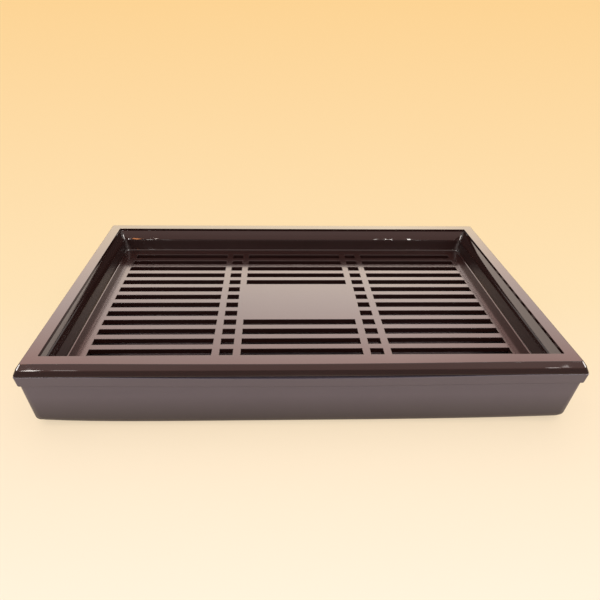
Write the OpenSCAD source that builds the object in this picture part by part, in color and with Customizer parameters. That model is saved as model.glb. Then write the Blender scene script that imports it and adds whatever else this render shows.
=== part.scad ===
// Two-tier tea tray. A slatted tray lifts off a water basin, which stands on
// four rubber feet. X runs along the long side, Y from front to back and Z up.
// The origin is on the table, under the middle of the basin.

/* [Outline] */
// Overall width, over the lip
tray_w = 440; // [400:1:520]
// Overall depth, over the lip
tray_d = 282; // [240:1:340]
// Height of the rim above the underside of the basin
body_h = 60; // [52:0.5:80]
// Wall thickness of the moulded shells
shell_t = 2.6; // [2:0.1:3.2]

/* [Rim of the slatted tray] */
// Width of the flat top of the rim
rim_flat_w = 10.7; // [8:0.1:16]
// How far the lip reaches out beyond the flat
lip_out = 5; // [4:0.1:6]
// Height of the lip
lip_h = 9.3; // [8:0.1:12]
// Depth below the rim at which the lip's sloping face has turned upright
lip_turn_h = 6.6; // [6.2:0.1:7]
// Plan radius of the lip's corners at its widest
lip_corner_r = 2; // [1.2:0.1:5]
// Plan radius of the flat's outer corners
flat_corner_r = 1; // [0.5:0.1:3]
// Plan radius of the sharp inner corners of the rim
rim_inner_r = 0.8; // [0.4:0.1:2]

/* [Well of the slatted tray] */
// Depth of the grate's top below the rim
well_h = 24.9; // [20:0.1:28]
// Height of the upright edge just below the rim
edge_h = 2.6; // [1.5:0.1:4]
// Height of the sloping band of the well wall
band_h = 10.2; // [7:0.1:12]
// How far the sloping band leads inwards
band_in = 4.8; // [3:0.1:7]
// Radius of the bend at the foot of the sloping band
bend_r = 6; // [3:0.5:8]
// Plan radius of the corners of the well
well_corner_r = 7; // [5:0.5:12]
// Radius of the fillet round the grate
foot_fillet_r = 2; // [1:0.1:3]

/* [Grate] */
// Thickness of the slats
grate_t = 4.5; // [3:0.1:6]
// Width of one slat
slat_w = 7.2; // [5:0.1:10]
// Width of one slot between two slats
slot_w = 8.6; // [5:0.1:10]
// Least border in front of the first slot and behind the last one
border_min = 11; // [8:0.5:14]
// Border between the well wall and the ends of the slots
side_border = 16.1; // [10:0.1:22]
// Width of one cross bar
bar_w = 7.1; // [5:0.1:10]
// Space between the two cross bars of a pair
bar_gap = 11.2; // [6:0.1:16]
// Width of the centre panel, between the two pairs of cross bars
panel_w = 105.6; // [80:0.1:130]
// Slots that the centre panel closes
panel_rows = 4; // [2:1:6]
// Depth of the stiffening rib under each cross bar
rib_h = 2.5; // [1:0.1:4]
// Depth of the drip edge under the well wall
drip_h = 1; // [0.5:0.1:2]

/* [Basin] */
// Height of the shoulder under the lip
shoulder_h = 8.8; // [6:0.1:12]
// How far the top of the shoulder lies in from the lip's widest line
shoulder_top_in = 0.2; // [0.1:0.1:0.8]
// How far the foot of the shoulder lies in from the lip's widest line
shoulder_foot_in = 0.9; // [0.8:0.1:1.2]
// Plan radius of the shoulder's corners
shoulder_corner_r = 1.9; // [1.4:0.1:4]
// How far the top of the wall lies in from the lip's widest line
wall_top_in = 1.4; // [1.3:0.1:2]
// How far the foot of the wall lies in from the lip's widest line
wall_foot_in = 2.8; // [2.5:0.1:6]
// Plan radius of the wall's corners at the top
wall_corner_r = 5; // [4:0.1:8]
// Plan radius of the wall's corners at the foot
foot_corner_r = 8; // [7:0.5:16]
// Radius of the rounded edge between wall and floor
base_edge_r = 8; // [5:0.1:9]
// Height of the locating rib inside the lip
locator_h = 2; // [1:0.1:2.4]
// Clearance between the lip and the locating rib
locator_gap = 0.5; // [0.3:0.1:0.8]

/* [Feet] */
// Diameter of a rubber foot
foot_d = 18; // [12:0.5:24]
// Height of a foot below the basin
foot_drop = 1.5; // [1:0.1:3]
// Depth of the seat that holds a foot
foot_seat_h = 0.9; // [0.6:0.1:1.2]
// Radius of a foot's rounded lower edge
foot_edge_r = 0.6; // [0.3:0.1:0.9]
// Clearance round a foot in its seat
foot_gap = 0.3; // [0.2:0.05:0.5]
// Distance from the side of the tray to the middle of a foot
foot_in_x = 34; // [26:1:60]
// Distance from the front or back of the tray to the middle of a foot
foot_in_y = 34; // [26:1:60]

/* [Hidden] */

// Facets in a quarter turn of a corner, in the arcs of a section and round a foot
corner_steps = 6;
arc_steps = 4;
foot_fn = 48;

// How far one solid runs into the next before they are joined, or a cut past a face
overlap = 1;
// How far the fillet round the grate sinks into it
bury = 0.1;
// Slope of the lip's face below the flat, and the radius of the edge between them
lip_slope = 45;
brow_r = 0.6;
// Rounded lower edge of the lip, and of the shoulder
lip_edge_r = 0.9;
shoulder_edge_r = 1.2;
// Share of the inset round the rounded base edge that its corner radius loses
corner_loss_share = 0.6;
// Width and lead-in of the locating rib
locator_t = 2.2;
locator_lead = 0.6;

base_z = foot_drop;
rim_z = base_z + body_h;
seat_z = rim_z - lip_h;
grate_z = rim_z - well_h;
under_z = grate_z - grate_t;

edge_in = lip_out + rim_flat_w;
well_in = edge_in + band_in;
well_w = tray_w - 2 * well_in;
well_d = tray_d - 2 * well_in;

band_angle = atan(band_in / band_h);
bend_z = rim_z - edge_h - band_h;
bend_reach = bend_r * tan(band_angle / 2);

pitch = slat_w + slot_w;
slot_rows = floor((well_d - 2 * border_min + slat_w) / pitch);
slots_d = slot_rows * pitch - slat_w;
slot_end_x = well_w / 2 - side_border;
inner_bar_x = panel_w / 2;
pair_x = inner_bar_x + bar_w;
outer_bar_x = pair_x + bar_gap;
field_x = outer_bar_x + bar_w;

body_hex = "#4f3d38";
tray_hex = "#5a4741";
rubber_hex = "#1d1b1a";

// One closed loop of points round the tray: a rectangle drawn in from the
// overall outline by `inset`, with corners of radius `r`, at the height `z`
function corner_points(cx, cy, r, start, z) =
    [for (k = [0 : corner_steps])
        let (a = start + 90 * k / corner_steps) [cx + r * cos(a), cy + r * sin(a), z]];

function loop_points(inset, z, r) =
    let (x = tray_w / 2 - inset - r, y = tray_d / 2 - inset - r)
    concat(corner_points(x, y, r, 0, z), corner_points(-x, y, r, 90, z),
           corner_points(-x, -y, r, 180, z), corner_points(x, -y, r, 270, z));

loop_count = 4 * (corner_steps + 1);

function wrap(k) = (k + 1) % loop_count;

function band_faces(a, b) =
    [for (k = [0 : loop_count - 1])
        [a * loop_count + k, b * loop_count + k, b * loop_count + wrap(k), a * loop_count + wrap(k)]];

function all_points(profile) =
    [for (p = profile) each loop_points(p[0], p[1], p[2])];

// A profile swept right round the tray, closed on itself as a ring
module swept_ring(profile) {
    last = len(profile) - 1;
    polyhedron(
        points = all_points(profile),
        faces = concat(
            [for (i = [0 : last - 1]) each band_faces(i, i + 1)],
            band_faces(last, 0)),
        convexity = 8);
}

// A profile swept round the tray, from a flat underside to a flat floor
module swept_cup(profile) {
    last = len(profile) - 1;
    polyhedron(
        points = all_points(profile),
        faces = concat(
            [[for (k = [0 : loop_count - 1]) k]],
            [for (i = [0 : last - 1]) each band_faces(i, i + 1)],
            [[for (k = [loop_count - 1 : -1 : 0]) last * loop_count + k]]),
        convexity = 8);
}

function arc_points(cx, cz, r, from, to, corner_from, corner_to) =
    [for (k = [0 : arc_steps])
        let (share = k / arc_steps, a = from + (to - from) * share)
        [cx + r * cos(a), cz + r * sin(a), corner_from + (corner_to - corner_from) * share]];

// The lip in section: a slope off the flat that bends round until it is upright
lip_bend_r = (lip_turn_h - lip_out * tan(lip_slope))
    / (cos(lip_slope) - tan(lip_slope) * (1 - sin(lip_slope)));
brow_reach = brow_r * tan(lip_slope / 2);

lip_face = concat(
    arc_points(lip_bend_r, rim_z - lip_turn_h, lip_bend_r, 180, 180 - (90 - lip_slope),
               lip_corner_r, lip_corner_r),
    arc_points(lip_out + brow_reach, rim_z - brow_r, brow_r, 90 + lip_slope, 90,
               flat_corner_r, flat_corner_r));

lip_back = [
    [lip_out + shell_t * tan(lip_slope / 2), rim_z - shell_t, flat_corner_r],
    [shell_t, rim_z - lip_out * tan(lip_slope) - shell_t * tan((90 - lip_slope) / 2), flat_corner_r]];

// The bend where the sloping band turns upright: it bulges towards the well
bend_arc = arc_points(well_in - bend_r, bend_z - bend_reach, bend_r, band_angle, 0,
                      well_corner_r - rim_inner_r, well_corner_r);

// The fillet from the upright wall on to the grate
foot_arc = arc_points(well_in + foot_fillet_r, grate_z - bury + foot_fillet_r, foot_fillet_r,
                      180, 270, well_corner_r, well_corner_r - foot_fillet_r);

tray_profile = concat(
    [[shell_t, seat_z, flat_corner_r], [lip_edge_r, seat_z, lip_corner_r],
     [0, seat_z + lip_edge_r, lip_corner_r]],
    lip_face,
    [[edge_in, rim_z, rim_inner_r],
     [edge_in, rim_z - edge_h, rim_inner_r + bury]],
    bend_arc,
    foot_arc,
    [[well_in + foot_fillet_r, under_z - drip_h, well_corner_r - foot_fillet_r],
     [well_in - shell_t, under_z - drip_h, well_corner_r],
     [well_in - shell_t, bend_z, well_corner_r],
     [edge_in - shell_t, rim_z - edge_h, flat_corner_r],
     [edge_in - shell_t, rim_z - shell_t, flat_corner_r]],
    lip_back);

// One rectangular slot, right through the grate and its ribs
module slot(x0, x1, y) {
    translate([x0, y, under_z - rib_h - overlap])
        cube([x1 - x0, slot_w, grate_t + rib_h + 2 * overlap]);
}

// The slots of one row: a field at each side, one between the bars of each
// pair, and one across the middle where the panel leaves it open
module slot_row(y, open_middle) {
    for (side = [0, 1]) mirror([side, 0, 0]) {
        slot(field_x, slot_end_x, y);
        slot(pair_x, outer_bar_x, y);
    }
    if (open_middle) slot(-inner_bar_x, inner_bar_x, y);
}

module slots() {
    for (i = [0 : slot_rows - 1])
        slot_row(i * pitch - slots_d / 2,
                 abs(i - (slot_rows - 1) / 2) >= panel_rows / 2);
}

// The bars run from front to back, each with a rib below it
module bar_ribs() {
    for (side = [0, 1]) mirror([side, 0, 0])
        for (x = [inner_bar_x, outer_bar_x])
            translate([x, -well_d / 2 - overlap, under_z - rib_h])
                cube([bar_w, well_d + 2 * overlap, rib_h + grate_t / 2]);
}

module grate() {
    difference() {
        union() {
            translate([-well_w / 2 - overlap, -well_d / 2 - overlap, under_z])
                cube([well_w + 2 * overlap, well_d + 2 * overlap, grate_t]);
            bar_ribs();
        }
        slots();
    }
}

module slatted_tray() {
    color(tray_hex) union() {
        swept_ring(tray_profile);
        grate();
    }
}

locator_in = shell_t + locator_gap;
locator_back_in = locator_in + locator_t;
shoulder_foot_z = seat_z - shoulder_h;

function quarter(cx, cz, r, from, to, corner) = arc_points(cx, cz, r, from, to, corner, corner);

// The rounded edge between wall and floor, with plan corners that tighten inwards
function base_edge(r, from, to) =
    [for (p = quarter(wall_foot_in + base_edge_r, base_z + base_edge_r, r, from, to, foot_corner_r))
        [p[0], p[1], foot_corner_r - corner_loss_share * (p[0] - wall_foot_in)]];

// The basin in section, from its underside out, up the wall, over the shoulder
// and the seat of the lip, and down the inside to the floor
basin_profile = concat(
    base_edge(base_edge_r, 270, 180),
    [[wall_top_in, shoulder_foot_z - shoulder_edge_r / 2, wall_corner_r]],
    quarter(shoulder_foot_in + shoulder_edge_r, shoulder_foot_z + shoulder_edge_r, shoulder_edge_r,
            270, 180, shoulder_corner_r),
    [[shoulder_top_in, seat_z - shoulder_top_in, shoulder_corner_r],
     [2 * shoulder_top_in, seat_z, shoulder_corner_r],
     [locator_in, seat_z, shoulder_corner_r],
     [locator_in, seat_z + locator_h - locator_lead, shoulder_corner_r],
     [locator_in + locator_lead, seat_z + locator_h, shoulder_corner_r],
     [locator_back_in, seat_z + locator_h, shoulder_corner_r],
     [locator_back_in, seat_z - shell_t, wall_corner_r - shell_t],
     [wall_top_in + shell_t, shoulder_foot_z - shell_t, wall_corner_r - shell_t]],
    base_edge(base_edge_r - shell_t, 180, 270));

module at_feet() {
    x = tray_w / 2 - foot_in_x;
    y = tray_d / 2 - foot_in_y;
    for (sx = [-1, 1], sy = [-1, 1]) translate([sx * x, sy * y, 0]) children();
}

module water_basin() {
    color(body_hex) difference() {
        swept_cup(basin_profile);
        at_feet() translate([0, 0, base_z - overlap])
            cylinder(d = foot_d + 2 * foot_gap, h = overlap + foot_seat_h, $fn = foot_fn);
    }
}

// A round rubber pad with a rounded lower edge
module foot() {
    r = foot_d / 2;
    h = foot_drop + foot_seat_h;
    color(rubber_hex) rotate_extrude($fn = foot_fn)
        polygon(concat([[0, 0]],
            [for (k = [0 : arc_steps]) let (a = -90 + 90 * k / arc_steps)
                [r - foot_edge_r + foot_edge_r * cos(a), foot_edge_r + foot_edge_r * sin(a)]],
            [[r, h], [0, h]]));
}

module foot_at(sx, sy) {
    translate([sx * (tray_w / 2 - foot_in_x), sy * (tray_d / 2 - foot_in_y), 0]) foot();
}

slatted_tray();
water_basin();
foot_at(-1, -1);  // foot_front_left
foot_at(1, -1);  // foot_front_right
foot_at(-1, 1);  // foot_back_left
foot_at(1, 1);  // foot_back_right
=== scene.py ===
import math

import bmesh
import bpy
from mathutils import Matrix, Vector


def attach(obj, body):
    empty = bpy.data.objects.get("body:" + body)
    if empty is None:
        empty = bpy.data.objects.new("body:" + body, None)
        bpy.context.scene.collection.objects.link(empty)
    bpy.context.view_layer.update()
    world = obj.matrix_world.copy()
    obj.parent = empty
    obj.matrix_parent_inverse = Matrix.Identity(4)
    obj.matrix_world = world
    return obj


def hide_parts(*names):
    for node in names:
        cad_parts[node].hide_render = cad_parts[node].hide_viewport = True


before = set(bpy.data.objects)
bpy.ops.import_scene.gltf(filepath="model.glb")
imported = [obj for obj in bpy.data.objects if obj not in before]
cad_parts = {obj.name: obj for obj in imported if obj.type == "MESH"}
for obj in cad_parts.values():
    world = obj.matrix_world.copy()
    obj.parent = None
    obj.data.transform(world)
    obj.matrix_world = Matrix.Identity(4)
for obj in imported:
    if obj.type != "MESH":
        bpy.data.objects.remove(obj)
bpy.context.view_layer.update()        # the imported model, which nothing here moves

mm = 0.001
scene = bpy.context.scene
print("frame:", ", ".join(sorted(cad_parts)))


def hexToLinear(code):
    # sRGB hex to the linear values that colour sockets take
    channels = [int(code[i:i + 2], 16) / 255 for i in (1, 3, 5)]
    linear = [c / 12.92 if c <= 0.04045 else ((c + 0.055) / 1.055) ** 2.4 for c in channels]
    return tuple(linear) + (1.0,)


def addNode(tree, kind, settings=None, inputs=None):
    # settings are the node's own options; an input takes a value, another node's output,
    # or a list of outputs where the socket joins several
    node = tree.nodes.new(kind)
    for key, value in (settings or {}).items():
        setattr(node, key, value)
    for key, value in (inputs or {}).items():
        socket = node.inputs[key]
        for source in value if isinstance(value, list) else [value]:
            if isinstance(source, bpy.types.NodeSocket):
                tree.links.new(source, socket)
            else:
                socket.default_value = source
    return node


def fillRamp(ramp, stops):
    for k, (place, colour) in enumerate(stops):
        element = ramp.elements[k] if k < len(ramp.elements) else ramp.elements.new(place)
        element.position, element.color = place, colour


def hexStops(stops):
    return [(place, hexToLinear(code)) for place, code in stops]


def addPiece(name, mesh):
    piece = bpy.data.objects.new(name, mesh)
    scene.collection.objects.link(piece)
    return piece


def bakeModifiers(piece, name):
    # the evaluated shape as a plain mesh, with its modifiers gone
    bpy.context.view_layer.update()
    evaluated = piece.evaluated_get(bpy.context.evaluated_depsgraph_get())
    mesh = bpy.data.meshes.new_from_object(evaluated)
    mesh.name = name
    piece.modifiers.clear()
    return mesh


def dropPiece(piece):
    mesh = piece.data
    bpy.data.objects.remove(piece)
    bpy.data.meshes.remove(mesh)


def smoothFaces(mesh):
    for face in mesh.polygons:
        face.use_smooth = True


def roundSection(corners, steps, share=1.0, leastCorner=0.3):
    # corners: inset, height, plan radius, edge radius (mm); each edge radius becomes an arc,
    # and the plan radius shrinks with the inset round it, by the share given
    section = []
    count = len(corners)
    for i, (inset, height, planRadius, edgeRadius) in enumerate(corners):
        if edgeRadius <= 0:
            section.append((inset, height, planRadius))
            continue
        here = Vector((inset, height))
        before = Vector(corners[i - 1][:2])
        after = Vector(corners[(i + 1) % count][:2])
        inward, outward = (before - here).normalized(), (after - here).normalized()
        half = inward.angle(outward) / 2
        reach = edgeRadius / math.tan(half)
        centre = here + (inward + outward).normalized() * edgeRadius / math.sin(half)
        start, end = here + inward * reach - centre, here + outward * reach - centre
        sweep = math.atan2(start.x * end.y - start.y * end.x, start.dot(end))
        for k in range(steps + 1):
            angle = sweep * k / steps
            spoke = Vector((start.x * math.cos(angle) - start.y * math.sin(angle),
                            start.x * math.sin(angle) + start.y * math.cos(angle)))
            point = centre + spoke
            radius = max(planRadius - share * (point.x - inset), leastCorner)
            section.append((point.x, point.y, radius))
    return section


def sweepLoop(halfX, halfY, radius, height, steps, sideSteps=24):
    # a rounded rectangle; its long sides carry extra points, so that they can bend
    points = []
    for sx, sy, start in ((1, 1, 0), (-1, 1, 90), (-1, -1, 180), (1, -1, 270)):
        for k in range(steps + 1):
            angle = math.radians(start + 90 * k / steps)
            points.append(((sx * (halfX - radius) + radius * math.cos(angle)) * mm,
                           (sy * (halfY - radius) + radius * math.sin(angle)) * mm, height * mm))
        if sx == sy:
            reach = halfX - radius
            points += [(sx * reach * (1 - 2 * k / sideSteps) * mm, sy * halfY * mm, height * mm)
                       for k in range(1, sideSteps)]
    return points


def sweepSection(name, section, outside, steps, isRing):
    # one loop for each point of the section, set in from the outside;
    # the last loop meets the first one, or else both ends are capped
    mesh = bpy.data.meshes.new(name)
    bm = bmesh.new()
    halfX, halfY = outside["width"] / 2, outside["depth"] / 2
    loops = []
    for inset, height, radius in section:
        points = sweepLoop(halfX - inset, halfY - inset, radius, height, steps)
        loops.append([bm.verts.new(point) for point in points])
    count = len(loops[0])
    for i in range(len(loops) if isRing else len(loops) - 1):
        a, b = loops[i], loops[(i + 1) % len(loops)]
        for k in range(count):
            n = (k + 1) % count
            bm.faces.new((a[k], b[k], b[n], a[n]))
    if not isRing:
        bm.faces.new(loops[0])
        bm.faces.new(list(reversed(loops[-1])))
    bmesh.ops.recalc_face_normals(bm, faces=bm.faces)
    bm.to_mesh(mesh)
    bm.free()
    smoothFaces(mesh)
    return mesh


def startMaterial(name):
    material = bpy.data.materials.new(name)
    material.use_nodes = True
    tree = material.node_tree
    tree.nodes.clear()
    shader = addNode(tree, "ShaderNodeBsdfPrincipled")
    addNode(tree, "ShaderNodeOutputMaterial", inputs={"Surface": shader.outputs["BSDF"]})
    place = addNode(tree, "ShaderNodeTexCoord").outputs["Object"]
    return material, tree, shader, place


def mottledPlastic(name, look):
    # a moulding's faint clouds of colour, patches of gloss, and fine grain
    material, tree, shader, place = startMaterial(name)
    shader.inputs["IOR"].default_value = look["ior"]
    cloud = addNode(tree, "ShaderNodeTexNoise", inputs={
        "Vector": place, "Scale": 1 / (look["cloudMm"] * mm), "Detail": 3.0, "Roughness": 0.55})
    tone = addNode(tree, "ShaderNodeMix", {"data_type": "RGBA"}, {
        "Factor": cloud.outputs["Fac"], 6: hexToLinear(look["darkTone"]),
        7: hexToLinear(look["lightTone"])}).outputs[2]
    smear = addNode(tree, "ShaderNodeTexNoise", inputs={
        "Vector": place, "Scale": 1 / (look["smearMm"] * mm), "Detail": 4.0, "Roughness": 0.6})
    rough = addNode(tree, "ShaderNodeMapRange", inputs={
        "Value": smear.outputs["Fac"], "From Min": 0.3, "From Max": 0.7,
        "To Min": look["roughLow"], "To Max": look["roughHigh"]}).outputs["Result"]
    grainStrength = look["grainStrength"]
    height = addNode(tree, "ShaderNodeSeparateXYZ", inputs={"Vector": place}).outputs["Z"]
    if "dullBelow" in look:
        isLow = addNode(tree, "ShaderNodeMath", {"operation": "LESS_THAN"}, {
            0: height, 1: look["dullBelow"] * mm}).outputs[0]
        rough = addNode(tree, "ShaderNodeMath", {"operation": "MULTIPLY_ADD"}, {
            0: isLow, 1: look["dullExtra"], 2: rough}).outputs[0]
    if "matt" in look:
        # 1 within a band of heights, 0 elsewhere
        matt = look["matt"]
        middle, half = (matt["from"] + matt["to"]) / 2, (matt["to"] - matt["from"]) / 2
        inBand = addNode(tree, "ShaderNodeMath", {"operation": "COMPARE"}, {
            0: height, 1: middle * mm, 2: half * mm}).outputs[0]
        rough = addNode(tree, "ShaderNodeMath", {"operation": "MULTIPLY_ADD"}, {
            0: inBand, 1: matt["rough"], 2: rough}).outputs[0]
        grainStrength = addNode(tree, "ShaderNodeMath", {"operation": "MULTIPLY_ADD"}, {
            0: inBand, 1: matt["grain"], 2: grainStrength}).outputs[0]
    if "footShadeTone" in look:
        # painted shade: the colour darkens toward the foot, standing in for the shade near the
        # floor
        rise = addNode(tree, "ShaderNodeMapRange", inputs={
            "Value": height, "From Min": look["footFrom"] * mm, "From Max": look["footTo"] * mm})
        tone = addNode(tree, "ShaderNodeMix", {"data_type": "RGBA"}, {
            "Factor": rise.outputs["Result"], 6: hexToLinear(look["footShadeTone"]), 7: tone}).outputs[2]
    grain = addNode(tree, "ShaderNodeTexNoise", inputs={
        "Vector": place, "Scale": 1 / (look["grainMm"] * mm), "Detail": 2.0, "Roughness": 0.5})
    bump = addNode(tree, "ShaderNodeBump", inputs={
        "Height": grain.outputs["Fac"], "Strength": grainStrength,
        "Distance": look["grainDepthMm"] * mm})
    tree.links.new(tone, shader.inputs["Base Color"])
    tree.links.new(rough, shader.inputs["Roughness"])
    tree.links.new(bump.outputs["Normal"], shader.inputs["Normal"])
    return material


# ABS, injection moulded in a polished tool: a soft gloss that mirrors pale things a little
# blurred, with a faint orange peel at its real size; it is a shade duller on the grate, where the
# tool could not be buffed between the slats, and matt on the upright wall of the well
polishedAbs = mottledPlastic("polishedAbs", {
    "darkTone": "#271512", "lightTone": "#2e1917", "cloudMm": 45, "ior": 1.5,
    "roughLow": 0.045, "roughHigh": 0.065, "smearMm": 18, "dullBelow": 36.9, "dullExtra": 0.085,
    "grainMm": 1.6, "grainStrength": 0.07, "grainDepthMm": 0.02,
    "matt": {"from": 38.2, "to": 49.0, "rough": 0.3, "grain": 0.5}})

# ABS from a spark-eroded tool: a satin that scatters the light into a grey sheen, with painted
# shade that darkens its colour toward the foot; the tool's texture is finer than a pixel, so its
# grain is drawn at 0.6 mm
satinAbs = mottledPlastic("satinAbs", {
    "darkTone": "#59515d", "lightTone": "#605864", "cloudMm": 60, "ior": 1.5,
    # painted shade: the foot's deeper tone stands in for the shade near the floor
    "footShadeTone": "#352d31", "footFrom": 3, "footTo": 32,
    "roughLow": 0.42, "roughHigh": 0.5, "smearMm": 25,
    "grainMm": 0.6, "grainStrength": 0.2, "grainDepthMm": 0.02})

# moulded rubber: dark and dull, with no clear reflection; its grain too is drawn coarse to show
padRubber = mottledPlastic("padRubber", {
    "darkTone": "#171615", "lightTone": "#1e1c1b", "cloudMm": 8, "ior": 1.52,
    "roughLow": 0.75, "roughHigh": 0.85, "smearMm": 5,
    "grainMm": 0.5, "grainStrength": 0.3, "grainDepthMm": 0.03})
print("materials ready")


# the slatted tray; heights, insets and radii in mm
tray = {
    "width": 440, "depth": 282, "rimZ": 61.5, "wall": 2.6,
    "flat": 10.3, "lipOut": 5.4, "lipHeight": 8.8, "lipEdge": 0.7, "browEdge": 0.9,
    # the lip's face leans back: how far below the rim it turns, how far in, and with what radius
    "lipTurns": [(4.0, 2.1, 5.0)],
    "lipCorner": 3.0, "browCorner": 1.4, "rimInner": 0.8, "rimEdge": 0.3,
    "wellDepth": 24.9, "edgeHeight": 2.6, "edgeTurn": 0.5,
    "fillet": 1.5, "footIn": 5.1, "wellCorner": 7.0,
    # the well's sloping wall: below the rim, in from it, radius of the turn, radius in plan
    "bandTurns": [(8.6, 3.14, 64.0, 2.2), (12.56, 4.74, 6.0, 3.5)],
    # out of sight: the drip edge under the well, and the shell's underside
    "dripIn": 2, "dripDrop": 1, "dripCorner": 5.0, "dripEdge": 0.4,
    "outerTurn": 13.0, "outerEdge": 2.0, "outerCorner": 7.0,
    "underCorner": 1.0, "underEdge": 0.5, "seatEdge": 0.3,
    "border": 26.0, "borderCorner": 3.0, "planSteps": 12, "arcSteps": 6,
}
seatZ = tray["rimZ"] - tray["lipHeight"]
grateZ = tray["rimZ"] - tray["wellDepth"]
rimIn = tray["lipOut"] + tray["flat"]
wellIn = rimIn + tray["footIn"]

grate = {
    "thick": 4.5, "slat": 7.2, "slot": 8.6, "rows": 14, "slotEnd": 183.4,
    "panelHalf": 52.8, "panelRows": 4, "bar": 7.1, "barGap": 11.2,
    "rib": 2.5, "ribShort": 1.0,    # a rib's depth, and how much shorter than the well it is
    "overrun": 1.0,                 # how far cutters and ribs reach past what they cut or join
    "edge": 0.45, "edgeSteps": 3,
    # what counts as a slot's upper edge: how near to it (mm), and how steep a fold (degrees)
    "nearEdge": 0.1, "foldOver": 30.0,
}
underZ = grateZ - grate["thick"]


def traySection():
    # down from the lip's edge over the rim into the well, along the grate, and back below
    t = tray
    rim, wall = t["rimZ"], t["wall"]
    mitre = math.tan(math.radians(22.5))    # half of the brow's turn of 45 degrees
    outerIn, dripZ = wellIn - wall, underZ - t["dripDrop"]
    lip = [(inward, rim - down, t["lipCorner"], radius) for down, inward, radius in t["lipTurns"]]
    band = [(rimIn + inward, rim - down, corner, radius)
            for down, inward, radius, corner in t["bandTurns"]]
    return roundSection([
        (0, seatZ, t["lipCorner"], t["lipEdge"]),
        *lip,
        (t["lipOut"], rim, t["browCorner"], t["browEdge"]),
        (rimIn, rim, t["rimInner"], t["rimEdge"]),
        (rimIn, rim - t["edgeHeight"], t["rimInner"], t["edgeTurn"]),
        *band,
        (wellIn, grateZ, t["wellCorner"], t["fillet"]),
        (t["border"], grateZ, t["borderCorner"], 0),
        (t["border"], underZ, t["borderCorner"], 0),
        (wellIn + t["dripIn"], underZ, t["dripCorner"], 0),
        (wellIn + t["dripIn"], dripZ, t["dripCorner"], t["dripEdge"]),
        (outerIn, dripZ, t["outerCorner"], t["dripEdge"]),
        (outerIn, rim - t["outerTurn"], t["outerCorner"], t["outerEdge"]),
        (rimIn - wall, rim - wall, t["underCorner"], t["underEdge"]),
        (t["lipOut"] + wall * mitre, rim - wall, t["underCorner"], t["underEdge"]),
        (wall, rim - t["lipOut"] - wall * mitre, t["underCorner"], t["underEdge"]),
        (wall, seatZ, t["underCorner"], t["seatEdge"]),
    ], t["arcSteps"])


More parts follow.
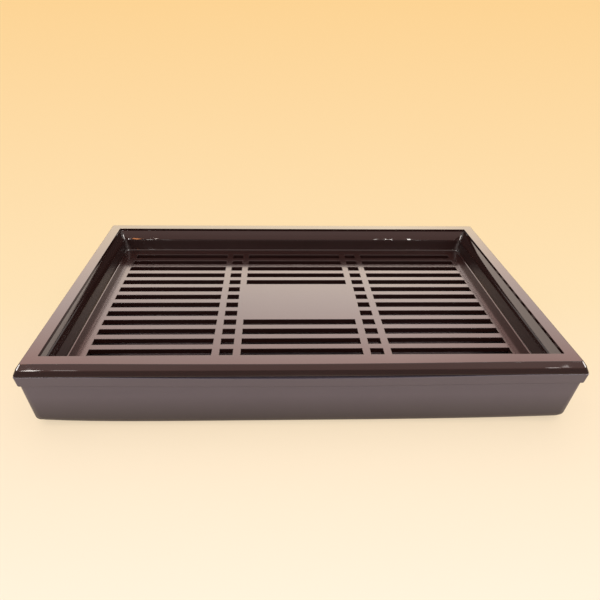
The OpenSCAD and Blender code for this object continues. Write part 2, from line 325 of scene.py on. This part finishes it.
# Geometry Nodes: ribs are joined to a plate, and rows of slots are cut through both
def buildGrateTree():
    tree = bpy.data.node_groups.new("slatGrate", "GeometryNodeTree")
    face = tree.interface
    face.new_socket("Geometry", in_out="INPUT", socket_type="NodeSocketGeometry")
    for name in ("pitch", "slotWidth", "slotEnd", "panelHalf", "bar", "barGap",
                 "topZ", "thick", "rib", "ribLength", "overrun", "nearEdge", "foldOver"):
        face.new_socket(name, in_out="INPUT", socket_type="NodeSocketFloat")
    for name in ("rows", "panelRows"):
        face.new_socket(name, in_out="INPUT", socket_type="NodeSocketInt")
    face.new_socket("finish", in_out="INPUT", socket_type="NodeSocketMaterial")
    face.new_socket("Geometry", in_out="OUTPUT", socket_type="NodeSocketGeometry")
    given = addNode(tree, "NodeGroupInput").outputs

    position = addNode(tree, "GeometryNodeInputPosition").outputs["Position"]
    place = addNode(tree, "ShaderNodeSeparateXYZ", inputs={"Vector": position}).outputs
    known = dict(given.items())
    known["row"] = addNode(tree, "GeometryNodeInputIndex").outputs["Index"]
    known["fold"] = addNode(tree, "GeometryNodeInputMeshEdgeAngle").outputs["Unsigned Angle"]
    known["x"], known["y"], known["z"] = place["X"], place["Y"], place["Z"]

    # what follows from the sizes, one step a row: its name, the operation and what it takes
    for name, operation, first, second in (
            ("pairStart", "ADD", "panelHalf", "bar"),
            ("outerBar", "ADD", "pairStart", "barGap"),
            ("fieldStart", "ADD", "outerBar", "bar"),
            ("panelLeft", "MULTIPLY", "panelHalf", -1.0),
            ("underside", "SUBTRACT", "topZ", "thick"),
            ("ribLow", "SUBTRACT", "underside", "rib"),
            ("ribHigh", "ADD", "underside", "overrun"),
            ("cutLow", "SUBTRACT", "ribLow", "overrun"),
            ("cutHigh", "ADD", "topZ", "overrun"),
            # the rows run from front to back, and leave the panel free in the middle
            ("lastRow", "SUBTRACT", "rows", 1.0),
            ("halfRun", "MULTIPLY", "lastRow", 0.5),
            ("runHalfY", "MULTIPLY", "halfRun", "pitch"),
            ("firstRowY", "MULTIPLY", "runHalfY", -1.0),
            ("rowOffset", "SUBTRACT", "row", "halfRun"),
            ("fromMiddle", "ABSOLUTE", "rowOffset", 0.0),
            ("halfPanelRows", "MULTIPLY", "panelRows", 0.5),
            ("isOpen", "GREATER_THAN", "fromMiddle", "halfPanelRows"),
            # the upper edges of the slots alone are marked for rounding, not the plate's outline
            ("halfSlot", "MULTIPLY", "slotWidth", 0.5),
            ("fieldHalfY", "ADD", "runHalfY", "halfSlot"),
            ("limitX", "ADD", "slotEnd", "nearEdge"),
            ("limitY", "ADD", "fieldHalfY", "nearEdge"),
            ("limitZ", "SUBTRACT", "topZ", "nearEdge"),
            ("sideX", "ABSOLUTE", "x", 0.0),
            ("sideY", "ABSOLUTE", "y", 0.0),
            ("inX", "LESS_THAN", "sideX", "limitX"),
            ("inY", "LESS_THAN", "sideY", "limitY"),
            ("onTop", "GREATER_THAN", "z", "limitZ"),
            ("isBent", "GREATER_THAN", "fold", "foldOver"),
            ("inField", "MULTIPLY", "inX", "inY"),
            ("onFold", "MULTIPLY", "onTop", "isBent"),
            ("edgeMark", "MULTIPLY", "inField", "onFold")):
        known[name] = addNode(tree, "ShaderNodeMath", {"operation": operation}, {
            0: known.get(first, first), 1: known.get(second, second)}).outputs[0]

    # boxes between two corners, each with its width centred on y = 0
    blocks = {}
    for name, start, end, width, low, high in (
            ("fieldSlot", "fieldStart", "slotEnd", "slotWidth", "cutLow", "cutHigh"),
            ("pairSlot", "pairStart", "outerBar", "slotWidth", "cutLow", "cutHigh"),
            ("middleSlot", "panelLeft", "panelHalf", "slotWidth", "cutLow", "cutHigh"),
            ("innerRib", "panelHalf", "pairStart", "ribLength", "ribLow", "ribHigh"),
            ("outerRib", "outerBar", "fieldStart", "ribLength", "ribLow", "ribHigh")):
        lowCorner = addNode(tree, "ShaderNodeCombineXYZ", inputs={
            "X": known[start], "Z": known[low]}).outputs[0]
        highCorner = addNode(tree, "ShaderNodeCombineXYZ", inputs={
            "X": known[end], "Y": known[width], "Z": known[high]}).outputs[0]
        size = addNode(tree, "ShaderNodeVectorMath", {"operation": "SUBTRACT"}, {
            0: highCorner, 1: lowCorner}).outputs[0]
        total = addNode(tree, "ShaderNodeVectorMath", {"operation": "ADD"}, {
            0: lowCorner, 1: highCorner}).outputs[0]
        middle = addNode(tree, "ShaderNodeVectorMath", {"operation": "MULTIPLY"}, {
            0: total, 1: (0.5, 0.0, 0.5)}).outputs[0]
        cube = addNode(tree, "GeometryNodeMeshCube", inputs={"Size": size}).outputs["Mesh"]
        blocks[name] = addNode(tree, "GeometryNodeTransform", inputs={
            "Geometry": cube, "Translation": middle}).outputs["Geometry"]

    # the right half and its copy, turned half round
    pairs = {}
    for name, parts in (("slots", ["fieldSlot", "pairSlot"]), ("ribs", ["innerRib", "outerRib"])):
        half = addNode(tree, "GeometryNodeJoinGeometry", inputs={
            "Geometry": [blocks[part] for part in parts]}).outputs["Geometry"]
        turned = addNode(tree, "GeometryNodeTransform", inputs={
            "Geometry": half, "Rotation": (0.0, 0.0, math.pi)}).outputs["Geometry"]
        pairs[name] = addNode(tree, "GeometryNodeJoinGeometry", inputs={
            "Geometry": [half, turned]}).outputs["Geometry"]

    firstRow = addNode(tree, "ShaderNodeCombineXYZ", inputs={"Y": known["firstRowY"]})
    nextRow = addNode(tree, "ShaderNodeCombineXYZ", inputs={"Y": known["pitch"]})
    rows = addNode(tree, "GeometryNodeMeshLine", {"mode": "OFFSET"}, {
        "Count": known["rows"], "Start Location": firstRow.outputs[0],
        "Offset": nextRow.outputs[0]}).outputs["Mesh"]
    everyRow = addNode(tree, "GeometryNodeInstanceOnPoints", inputs={
        "Points": rows, "Instance": pairs["slots"]})
    openRow = addNode(tree, "GeometryNodeInstanceOnPoints", inputs={
        "Points": rows, "Instance": blocks["middleSlot"], "Selection": known["isOpen"]})
    allRows = addNode(tree, "GeometryNodeJoinGeometry", inputs={
        "Geometry": [everyRow.outputs["Instances"], openRow.outputs["Instances"]]})
    cutters = addNode(tree, "GeometryNodeRealizeInstances", inputs={
        "Geometry": allRows.outputs["Geometry"]})
    solid = addNode(tree, "GeometryNodeMeshBoolean", {"operation": "UNION", "solver": "EXACT"}, {
        "Mesh 2": [known["Geometry"], pairs["ribs"]]})
    slotted = addNode(tree, "GeometryNodeMeshBoolean", {
        "operation": "DIFFERENCE", "solver": "EXACT"}, {
        "Mesh 1": solid.outputs["Mesh"], "Mesh 2": cutters.outputs["Geometry"]})
    marked = addNode(tree, "GeometryNodeStoreNamedAttribute", {
        "data_type": "FLOAT", "domain": "EDGE"}, {
        "Geometry": slotted.outputs["Mesh"], "Name": "bevel_weight_edge",
        "Value": known["edgeMark"]})
    painted = addNode(tree, "GeometryNodeSetMaterial", inputs={
        "Geometry": marked.outputs["Geometry"], "Material": known["finish"]})
    final = addNode(tree, "GeometryNodeRealizeInstances", inputs={
        "Geometry": painted.outputs["Geometry"]})
    addNode(tree, "NodeGroupOutput", inputs={"Geometry": final.outputs["Geometry"]})
    return tree


def setModifierInputs(modifier, values):
    for item in modifier.node_group.interface.items_tree:
        if item.in_out == "INPUT" and item.name in values:
            modifier[item.identifier] = values[item.name]


def makeGrate():
    g = grate
    corner, ribLength = tray["borderCorner"], tray["depth"] - 2 * tray["border"] - g["ribShort"]
    plate = sweepSection("gratePlate", [(tray["border"], z, corner) for z in (underZ, grateZ)],
                         tray, tray["planSteps"], isRing=False)
    piece = addPiece("gratePlate", plate)
    modifier = piece.modifiers.new("slatGrate", "NODES")
    modifier.node_group = buildGrateTree()
    lengths = {"pitch": g["slat"] + g["slot"], "slotWidth": g["slot"], "slotEnd": g["slotEnd"],
               "panelHalf": g["panelHalf"], "bar": g["bar"], "barGap": g["barGap"],
               "topZ": grateZ, "thick": g["thick"], "rib": g["rib"], "ribLength": ribLength,
               "overrun": g["overrun"], "nearEdge": g["nearEdge"]}
    setModifierInputs(modifier, {name: length * mm for name, length in lengths.items()})
    setModifierInputs(modifier, {
        "foldOver": math.radians(g["foldOver"]),
        "rows": g["rows"], "panelRows": g["panelRows"], "finish": polishedAbs})
    cut = addPiece("grateCut", bakeModifiers(piece, "grateCut"))
    dropPiece(piece)
    bevel = cut.modifiers.new("slotEdges", "BEVEL")
    bevel.limit_method = "WEIGHT"
    bevel.width = g["edge"] * mm
    bevel.segments = g["edgeSteps"]
    bevel.use_clamp_overlap = False
    mesh = bakeModifiers(cut, "grate")
    dropPiece(cut)
    smoothFaces(mesh)
    return mesh


def joinMeshes(name, meshes):
    bm = bmesh.new()
    for mesh in meshes:
        bm.from_mesh(mesh)
    mesh = bpy.data.meshes.new(name)
    bm.to_mesh(mesh)
    bm.free()
    for used in meshes:
        bpy.data.meshes.remove(used)
    smoothFaces(mesh)
    return mesh


def markSharp(mesh, limit=35.0):
    # folds steeper than one step of a rounded edge stay sharp in the shading
    bm = bmesh.new()
    bm.from_mesh(mesh)
    for edge in bm.edges:
        edge.smooth = len(edge.link_faces) == 2 and edge.calc_face_angle(0.0) < math.radians(limit)
    bm.to_mesh(mesh)
    bm.free()


def finishPiece(name, mesh, material, body, nodes):
    mesh.materials.clear()
    mesh.materials.append(material)
    markSharp(mesh)
    piece = addPiece(name, mesh)
    # wide faces shade flat, and only the rounded edges between them turn the light
    weights = piece.modifiers.new("flatShading", "WEIGHTED_NORMAL")
    weights.weight = 100
    weights.keep_sharp = True
    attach(piece, body)
    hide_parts(*nodes)
    print(name, len(mesh.polygons), "faces")
    return piece


# a thin moulding is not quite straight: its long rims sag in the middle, the lip's brow bows
# outward there, and the basin's rim sags a little more, so that a seam opens; the basin's foot
# hangs in the middle and lifts at the corners
sag = {
    "front": 1.0, "back": 0.2,    # how much of it all the front and the back take
    "rim": 0.45, "brow": 1.0, "halfRun": 180.0, "power": 1.3,
    "basinRim": 2.6, "basinFrom": 30.0,
    "footDrop": 1.3, "footLift": 4.0, "footRun": 200.0, "leftPower": 6.0, "rightPower": 3.0,
    "footBand": 14.0, "footTop": 24.0,
    "pastMitre": 1.0,             # how far round a corner the long side's sag still reaches
}


def limited(share):
    return min(max(share, 0), 1)


def sagRun(x):
    return max(1 - (x / sag["halfRun"]) ** 2, 0) ** sag["power"]


def traySag(x, inset, z):
    # how far the rim drops (mm), and how far its brow bows outward
    drop = sag["rim"] * limited((z - grateZ) / (tray["rimZ"] - grateZ))
    bow = sag["brow"] * min(inset / tray["lipOut"], max(rimIn - inset, 0) / tray["flat"])
    return sagRun(x) * drop, sagRun(x) * bow


def basinSag(x, inset, z):
    rim = sag["basinRim"] * limited((z - sag["basinFrom"]) / (seatZ - sag["basinFrom"]))
    low = limited(1 - z / sag["footTop"]) * max(1 - inset / sag["footBand"], 0)
    lift = sag["footLift"] * abs(x / sag["footRun"]) ** sag["leftPower" if x < 0 else "rightPower"]
    return rim * sagRun(x) + low * (sag["footDrop"] - lift), 0.0


def bendRims(mesh, bend, reach):
    for vertex in mesh.vertices:
        x, y, z = (c / mm for c in vertex.co)
        insetX, insetY = tray["width"] / 2 - abs(x), tray["depth"] / 2 - abs(y)
        if insetY < reach and insetX > insetY - sag["pastMitre"]:
            side = sag["front"] if y < 0 else sag["back"]
            down, out = bend(x, insetY, z)
            vertex.co.z -= side * down * mm
            vertex.co.y += side * out * math.copysign(mm, y)


trayRim = sweepSection("trayRim", traySection(), tray, tray["planSteps"], isRing=True)
bendRims(trayRim, traySag, tray["border"])
trayMesh = joinMeshes("slattedTray", [trayRim, makeGrate()])
finishPiece("slattedTray", trayMesh, polishedAbs, "tray", ["slatted_tray"])


# the water basin and its rubber feet; heights, insets and radii in mm
basin = {
    "baseZ": 1.5, "wall": 2.6, "shoulderTopIn": 0.2, "shoulderFootIn": 0.9, "shoulderHeight": 9.2,
    "shoulderEdge": 0.6, "shoulderCorner": 1.9, "seatEdge": 0.35,
    "wallTopIn": 1.4, "wallTopDrop": 0.6, "wallTopEdge": 0.25, "wallFootIn": 2.2, "wallLean": 0.3,
    "wallCorner": 5.0, "footCorner": 8.0, "baseEdge": 8.0, "innerEdge": 0.8,
    "locatorIn": 3.1, "locatorWide": 2.2, "locatorHigh": 2.0,
    "locatorFoot": 0.2, "locatorEdge": 0.5, "locatorBack": 0.3,
    "capIn": 40.0, "capCorner": 0.3, "cornerShare": 0.6,
    "clear": 0.02,                # keeps an arc's end off the corner next to it
    "planSteps": 12, "arcSteps": 6,
}
foot = {"diameter": 18, "drop": 1.5, "seat": 0.9, "edge": 0.6, "edgeStep": 15,
        "gap": 0.3, "overrun": 1, "inX": 34, "inY": 34, "steps": 64}
shoulderZ = seatZ - basin["shoulderHeight"]


def basinSection():
    # from under the floor up the outside, over the seat and the locating rib, and down the inside
    b = basin
    wall, base, corner = b["wall"], b["baseZ"], b["shoulderCorner"]
    footIn, locatorZ = b["wallFootIn"] + b["wallLean"], seatZ + b["locatorHigh"]
    locatorBack = b["locatorIn"] + b["locatorWide"]
    return roundSection([
        (b["capIn"], base, b["capCorner"], 0),
        (footIn, base, b["footCorner"], b["baseEdge"]),
        (b["wallTopIn"], shoulderZ - b["wallTopDrop"], b["wallCorner"], b["wallTopEdge"]),
        (b["shoulderFootIn"] + b["shoulderEdge"], shoulderZ, corner, 0),
        (b["shoulderFootIn"], shoulderZ, corner, b["shoulderEdge"] - b["clear"]),
        (b["shoulderTopIn"], seatZ, corner, b["seatEdge"]),
        (b["locatorIn"], seatZ, corner, b["locatorFoot"]),
        (b["locatorIn"], locatorZ, corner, b["locatorEdge"]),
        (locatorBack, locatorZ, corner, b["locatorBack"]),
        (locatorBack, seatZ - wall, corner, b["innerEdge"]),
        (b["wallTopIn"] + wall, shoulderZ - wall, b["wallCorner"] - wall, b["innerEdge"]),
        (footIn + wall, base + wall, b["footCorner"], b["baseEdge"] - wall),
        (b["capIn"], base + wall, b["capCorner"], 0),
    ], b["arcSteps"], b["cornerShare"])


def footPlaces():
    x, y = tray["width"] / 2 - foot["inX"], tray["depth"] / 2 - foot["inY"]
    return {"foot_front_left": (-x, -y), "foot_front_right": (x, -y),
            "foot_back_left": (-x, y), "foot_back_right": (x, y)}


def spunMesh(name, outline, steps, places):
    # a closed outline (radius, height) spun into a solid at each place
    bm = bmesh.new()
    turns = [2 * math.pi * k / steps for k in range(steps)]
    for px, py in places:
        rings = []
        for radius, height in outline:
            rings.append([bm.verts.new(((px + radius * math.cos(turn)) * mm,
                                        (py + radius * math.sin(turn)) * mm, height * mm))
                          for turn in (turns if radius else turns[:1])])
        for a, b in zip(rings, rings[1:]):
            for k in range(steps):
                n = (k + 1) % steps
                corners = [a[k % len(a)], a[n % len(a)], b[n % len(b)], b[k % len(b)]]
                bm.faces.new(list(dict.fromkeys(corners)))
    bmesh.ops.recalc_face_normals(bm, faces=bm.faces)
    mesh = bpy.data.meshes.new(name)
    bm.to_mesh(mesh)
    bm.free()
    smoothFaces(mesh)
    return mesh


def makeBasin():
    mesh = sweepSection("basinShell", basinSection(), tray, basin["planSteps"], isRing=False)
    bendRims(mesh, basinSag, sag["footBand"])
    shell = addPiece("basinShell", mesh)
    radius, low = foot["diameter"] / 2 + foot["gap"], -foot["overrun"]
    seatTop = basin["baseZ"] + foot["seat"]
    cutter = addPiece("footSeats", spunMesh("footSeats", [
        (0, low), (radius, low), (radius, seatTop), (0, seatTop)],
        foot["steps"], footPlaces().values()))
    seats = shell.modifiers.new("footSeats", "BOOLEAN")
    seats.operation = "DIFFERENCE"
    seats.solver = "EXACT"
    seats.object = cutter
    result = bakeModifiers(shell, "waterBasin")
    dropPiece(cutter)
    dropPiece(shell)
    smoothFaces(result)
    return result


finishPiece("waterBasin", makeBasin(), satinAbs, "basin", ["water_basin"])


def padOutline():
    radius, top, edge = foot["diameter"] / 2, foot["drop"] + foot["seat"], foot["edge"]
    turns = [math.radians(a) for a in range(-90, 1, foot["edgeStep"])]
    arc = [(radius - edge + edge * math.cos(turn), edge + edge * math.sin(turn)) for turn in turns]
    return [(0, 0)] + arc + [(radius, top), (0, top)]


for footName, footPlace in footPlaces().items():
    pad = spunMesh(footName + "_pad", padOutline(), foot["steps"], [footPlace])
    finishPiece(footName + "_pad", pad, padRubber, "basin", [footName])


# the board's colour changes evenly up the picture, so it is mixed by nearness and not by distance;
# the board reaches so far (m) that its edge lies at the horizon
floor = {
    "reach": 600, "rough": 0.9,
    "stops": [(0.0, "#f6d093"), (0.5, "#f8e0b5"), (0.667, "#fbe6c6"), (1.0, "#fcf0da")],
    "nearScale": 0.358, "nearShift": 0.637, "nearStart": -0.0117, "nearest": 0.2,
    "glow": 0.68, "glowStrength": 1.03,
}


def makeFloor():
    mesh = bpy.data.meshes.new("floor")
    r = floor["reach"]
    mesh.from_pydata([(-r, -r, 0), (r, -r, 0), (r, r, 0), (-r, r, 0)], [], [(0, 1, 2, 3)])

    # matt painted board: a deep cream far off that pales toward the front
    material, tree, shader, place = startMaterial("paintedBoard")
    ray = addNode(tree, "ShaderNodeLightPath").outputs
    known = {"y": addNode(tree, "ShaderNodeSeparateXYZ", inputs={"Vector": place}).outputs["Y"],
             "direct": ray["Is Camera Ray"], "glossy": ray["Is Glossy Ray"],
             "through": ray["Is Transmission Ray"]}
    for name, operation, first, second in (
            ("shifted", "ADD", "y", floor["nearShift"]),
            ("depth", "MAXIMUM", "shifted", floor["nearest"]),
            ("ratio", "DIVIDE", floor["nearScale"], "depth"),
            ("nearness", "ADD", "ratio", floor["nearStart"]),
            ("mirrored", "MAXIMUM", "direct", "glossy"),
            ("seen", "MAXIMUM", "mirrored", "through"),
            ("glow", "MULTIPLY", "seen", floor["glow"])):
        known[name] = addNode(tree, "ShaderNodeMath", {"operation": operation}, {
            0: known.get(first, first), 1: known.get(second, second)}).outputs[0]
    ramp = addNode(tree, "ShaderNodeValToRGB", inputs={"Fac": known["nearness"]})
    fillRamp(ramp.color_ramp, hexStops(floor["stops"]))
    tree.links.new(ramp.outputs["Color"], shader.inputs["Base Color"])
    shader.inputs["Roughness"].default_value = floor["rough"]
    shader.inputs["Specular IOR Level"].default_value = 0.0
    # lit from behind as well, like a light table: the shadow stays, but pale
    lit = addNode(tree, "ShaderNodeEmission", inputs={
        "Color": ramp.outputs["Color"], "Strength": floor["glowStrength"]})
    both = addNode(tree, "ShaderNodeMixShader", inputs={
        0: known["glow"], 1: shader.outputs["BSDF"], 2: lit.outputs[0]})
    tree.links.new(both.outputs[0], tree.nodes["Material Output"].inputs["Surface"])
    mesh.materials.append(material)
    piece = addPiece("floor", mesh)
    return piece


makeFloor()
print("floor ready")


light = {
    # the room: (sine of the height above the horizon, radiance), dim low down and bright overhead
    "room": [(0.0, 0.34), (0.3, 0.38), (0.5, 0.6), (0.75, 1.28), (1.0, 1.4)],
    "roomTone": "#fff7f2", "roomFull": 1.4,
    # what every lamp points at
    "target": (0.0, 0.0, 0.05),
    # a wide far softbox behind, mirrored by everything that faces up; it reddens toward its top
    "box": {
        "distance": 40.0, "low": 15.0, "high": 55.0, "width": 56.0, "radiance": 5.2,
        "up": [(0.0, "#f6dcae"), (0.15, "#fce7c2"), (0.3, "#fde8d8"), (0.4, "#f9e6de"),
               (0.5, "#f2d5cc"), (0.6, "#e0aba1"), (1.0, "#8a6a66")],
        "along": [(0.0, "#d0cac8"), (0.136, "#cdc6c5"), (0.329, "#f4f4f4"), (0.5, "#f0f0f0"),
                  (0.671, "#e2e2e2"), (0.864, "#d8cecb"), (1.0, "#d4ccca")]},
    # pale panels low at both sides, mirrored by the sloping bands of the side walls
    "panels": {"azimuth": 40.0, "distance": 40.0, "width": 16.0, "tone": "#ffebdc",
               # name, side, height of its middle, height, radiance
               "each": [("leftPanel", -1, 3.4, 5.0, 2.7), ("rightPanel", 1, 1.2, 3.0, 2.4)]},
    # a soft key from the front that only fills, so it leaves no glint of its own
    "key": {"elevation": 52.0, "strength": 0.6, "angle": 50.0},
    # name, place, width, height, radiance, tone
    "near": [
        # a faint warm box in front, mirrored by the lip's slope alone
        ("frontBox", (0.0, -2.46, 1.81), 6.0, 1.8, 0.6, "#ffb0a0"),
        # bright screens in front at both sides, caught by the rounded corners alone
        ("leftScreen", (-1.5, -0.6, 1.0), 1.0, 0.8, 20.0, "#fff8f2"),
        ("rightScreen", (1.5, -0.6, 1.0), 1.0, 0.8, 20.0, "#fff8f2")],
    # small lamps close by, seen only as glints on the rear wall and on the lip
    "glints": [
        ("leftWall", (-0.275, -0.119, 0.147), 0.022, 0.006, 50.0, "#fff8f2"),
        ("leftWallWarm", (-0.2546, -0.119, 0.147), 0.017, 0.005, 20.0, "#ffa05c"),
        ("leftWallDot", (-0.223, -0.119, 0.147), 0.002, 0.005, 50.0, "#fff0e4"),
        ("rightWallFaint", (0.150, -0.119, 0.147), 0.006, 0.005, 10.0, "#fff8f2"),
        ("rightWallDot", (0.1678, -0.119, 0.147), 0.0016, 0.005, 50.0, "#fff8f2"),
        ("rightWallEndDot", (0.1760, -0.119, 0.147), 0.0016, 0.005, 50.0, "#fff8f2"),
        ("rightWall", (0.2072, -0.119, 0.147), 0.006, 0.006, 50.0, "#fff8f2"),
        ("leftLip", (-0.2545, -0.2235, 0.1145), 0.013, 0.024, 24.0, "#fff8f2"),
        ("leftLipFade", (-0.223, -0.2235, 0.1145), 0.024, 0.015, 5.0, "#fff8f2"),
        ("rightLip", (0.248, -0.2235, 0.1145), 0.011, 0.0125, 12.0, "#fff8f2"),
        ("rightLipEnd", (0.2655, -0.2235, 0.1275), 0.007, 0.01, 5.0, "#fff8f2")],
}


def addLamp(name, kind, place):
    lamp = bpy.data.lights.new(name, kind)
    obj = bpy.data.objects.new(name, lamp)
    scene.collection.objects.link(obj)
    obj.location = place
    toTarget = Vector(light["target"]) - Vector(place)
    obj.rotation_euler = toTarget.to_track_quat("-Z", "Y").to_euler()
    obj.visible_camera = False
    return obj, lamp


def addGlossLamp(name, place, width, height, radiance, tone="#ffffff"):
    # a plain rectangle that shows in reflections alone
    obj, lamp = addLamp(name, "AREA", place)
    lamp.color = hexToLinear(tone)[:3]
    lamp.shape = "RECTANGLE"
    lamp.size, lamp.size_y = width, height
    lamp.energy = radiance * math.pi * width * height
    obj.visible_diffuse = False
    return lamp


def makeBox():
    box = light["box"]
    far = box["distance"]
    rise = math.radians((box["low"] + box["high"]) / 2)
    height = 2 * far * math.tan(math.radians(box["high"] - box["low"]) / 2)
    lamp = addGlossLamp("backBox", (0.0, far * math.cos(rise), far * math.sin(rise)),
                        box["width"], height, box["radiance"])
    lamp.use_nodes = True
    tree = lamp.node_tree
    tree.nodes.clear()
    across = addNode(tree, "ShaderNodeSeparateXYZ", inputs={
        "Vector": addNode(tree, "ShaderNodeNewGeometry").outputs["Parametric"]})
    up = addNode(tree, "ShaderNodeValToRGB", inputs={"Fac": across.outputs["Y"]})
    along = addNode(tree, "ShaderNodeValToRGB", inputs={"Fac": across.outputs["X"]})
    fillRamp(up.color_ramp, hexStops(box["up"]))
    fillRamp(along.color_ramp, hexStops(box["along"]))
    both = addNode(tree, "ShaderNodeMix", {"data_type": "RGBA", "blend_type": "MULTIPLY"}, {
        0: 1.0, 6: up.outputs["Color"], 7: along.outputs["Color"]})
    glow = addNode(tree, "ShaderNodeEmission", inputs={"Color": both.outputs[2]})
    addNode(tree, "ShaderNodeOutputLight", inputs={"Surface": glow.outputs[0]})


def makePanels():
    panel = light["panels"]
    turn = math.radians(panel["azimuth"])
    x, y = panel["distance"] * math.sin(turn), panel["distance"] * math.cos(turn)
    for name, side, middle, height, radiance in panel["each"]:
        addGlossLamp(name, (side * x, y, middle), panel["width"], height, radiance, panel["tone"])


def makeRoom():
    world = bpy.data.worlds.new("studio")
    world.use_nodes = True
    tree = world.node_tree
    tree.nodes.clear()
    way = addNode(tree, "ShaderNodeSeparateXYZ", inputs={
        "Vector": addNode(tree, "ShaderNodeTexCoord").outputs["Generated"]})
    level = addNode(tree, "ShaderNodeValToRGB", inputs={"Fac": way.outputs["Z"]})
    full, tone = light["roomFull"], hexToLinear(light["roomTone"])[:3]
    fillRamp(level.color_ramp, [(sine, [c * radiance / full for c in tone] + [1.0])
                                for sine, radiance in light["room"]])
    room = addNode(tree, "ShaderNodeBackground", inputs={
        "Color": level.outputs["Color"], "Strength": full})
    addNode(tree, "ShaderNodeOutputWorld", inputs={"Surface": room.outputs[0]})
    scene.world = world


def makeKey():
    key = light["key"]
    rise = math.radians(key["elevation"])
    obj, lamp = addLamp("softKey", "SUN", (0.0, -math.cos(rise), math.sin(rise)))
    lamp.energy, lamp.angle = key["strength"], math.radians(key["angle"])
    obj.visible_glossy = False


makeRoom()
makeBox()
makePanels()
for nearLamp in light["near"]:
    addGlossLamp(*nearLamp)
makeKey()
for glintLamp in light["glints"]:
    addGlossLamp(*glintLamp)
print("lights ready")


camera = {
    "place": (-0.02419, -0.43609, 0.29173), "yaw": 0.0372, "pitch": 0.60371, "roll": 0.01715,
    "lens": 30.0, "sensor": 36.0, "shiftX": 0.017845, "shiftY": 0.063473,
    "nearest": 0.01, "farthest": 2000.0,
}


def makeCamera():
    c = camera
    data = bpy.data.cameras.new("view")
    data.lens, data.sensor_width = c["lens"], c["sensor"]
    data.shift_x, data.shift_y = c["shiftX"], c["shiftY"]
    data.clip_start, data.clip_end = c["nearest"], c["farthest"]
    flatRight = Vector((math.cos(c["yaw"]), -math.sin(c["yaw"]), 0))
    ahead = Vector((math.sin(c["yaw"]), math.cos(c["yaw"]), 0))
    up = Vector((0, 0, 1))
    forward = ahead * math.cos(c["pitch"]) - up * math.sin(c["pitch"])
    tilted = ahead * math.sin(c["pitch"]) + up * math.cos(c["pitch"])
    right = flatRight * math.cos(c["roll"]) + tilted * math.sin(c["roll"])
    above = -flatRight * math.sin(c["roll"]) + tilted * math.cos(c["roll"])
    turn = Matrix((right, above, -forward)).transposed().to_4x4()
    obj = bpy.data.objects.new("view", data)
    scene.collection.objects.link(obj)
    obj.matrix_world = Matrix.Translation(Vector(c["place"])) @ turn
    scene.camera = obj


makeCamera()
scene.view_settings.view_transform = "Standard"
print("camera ready")
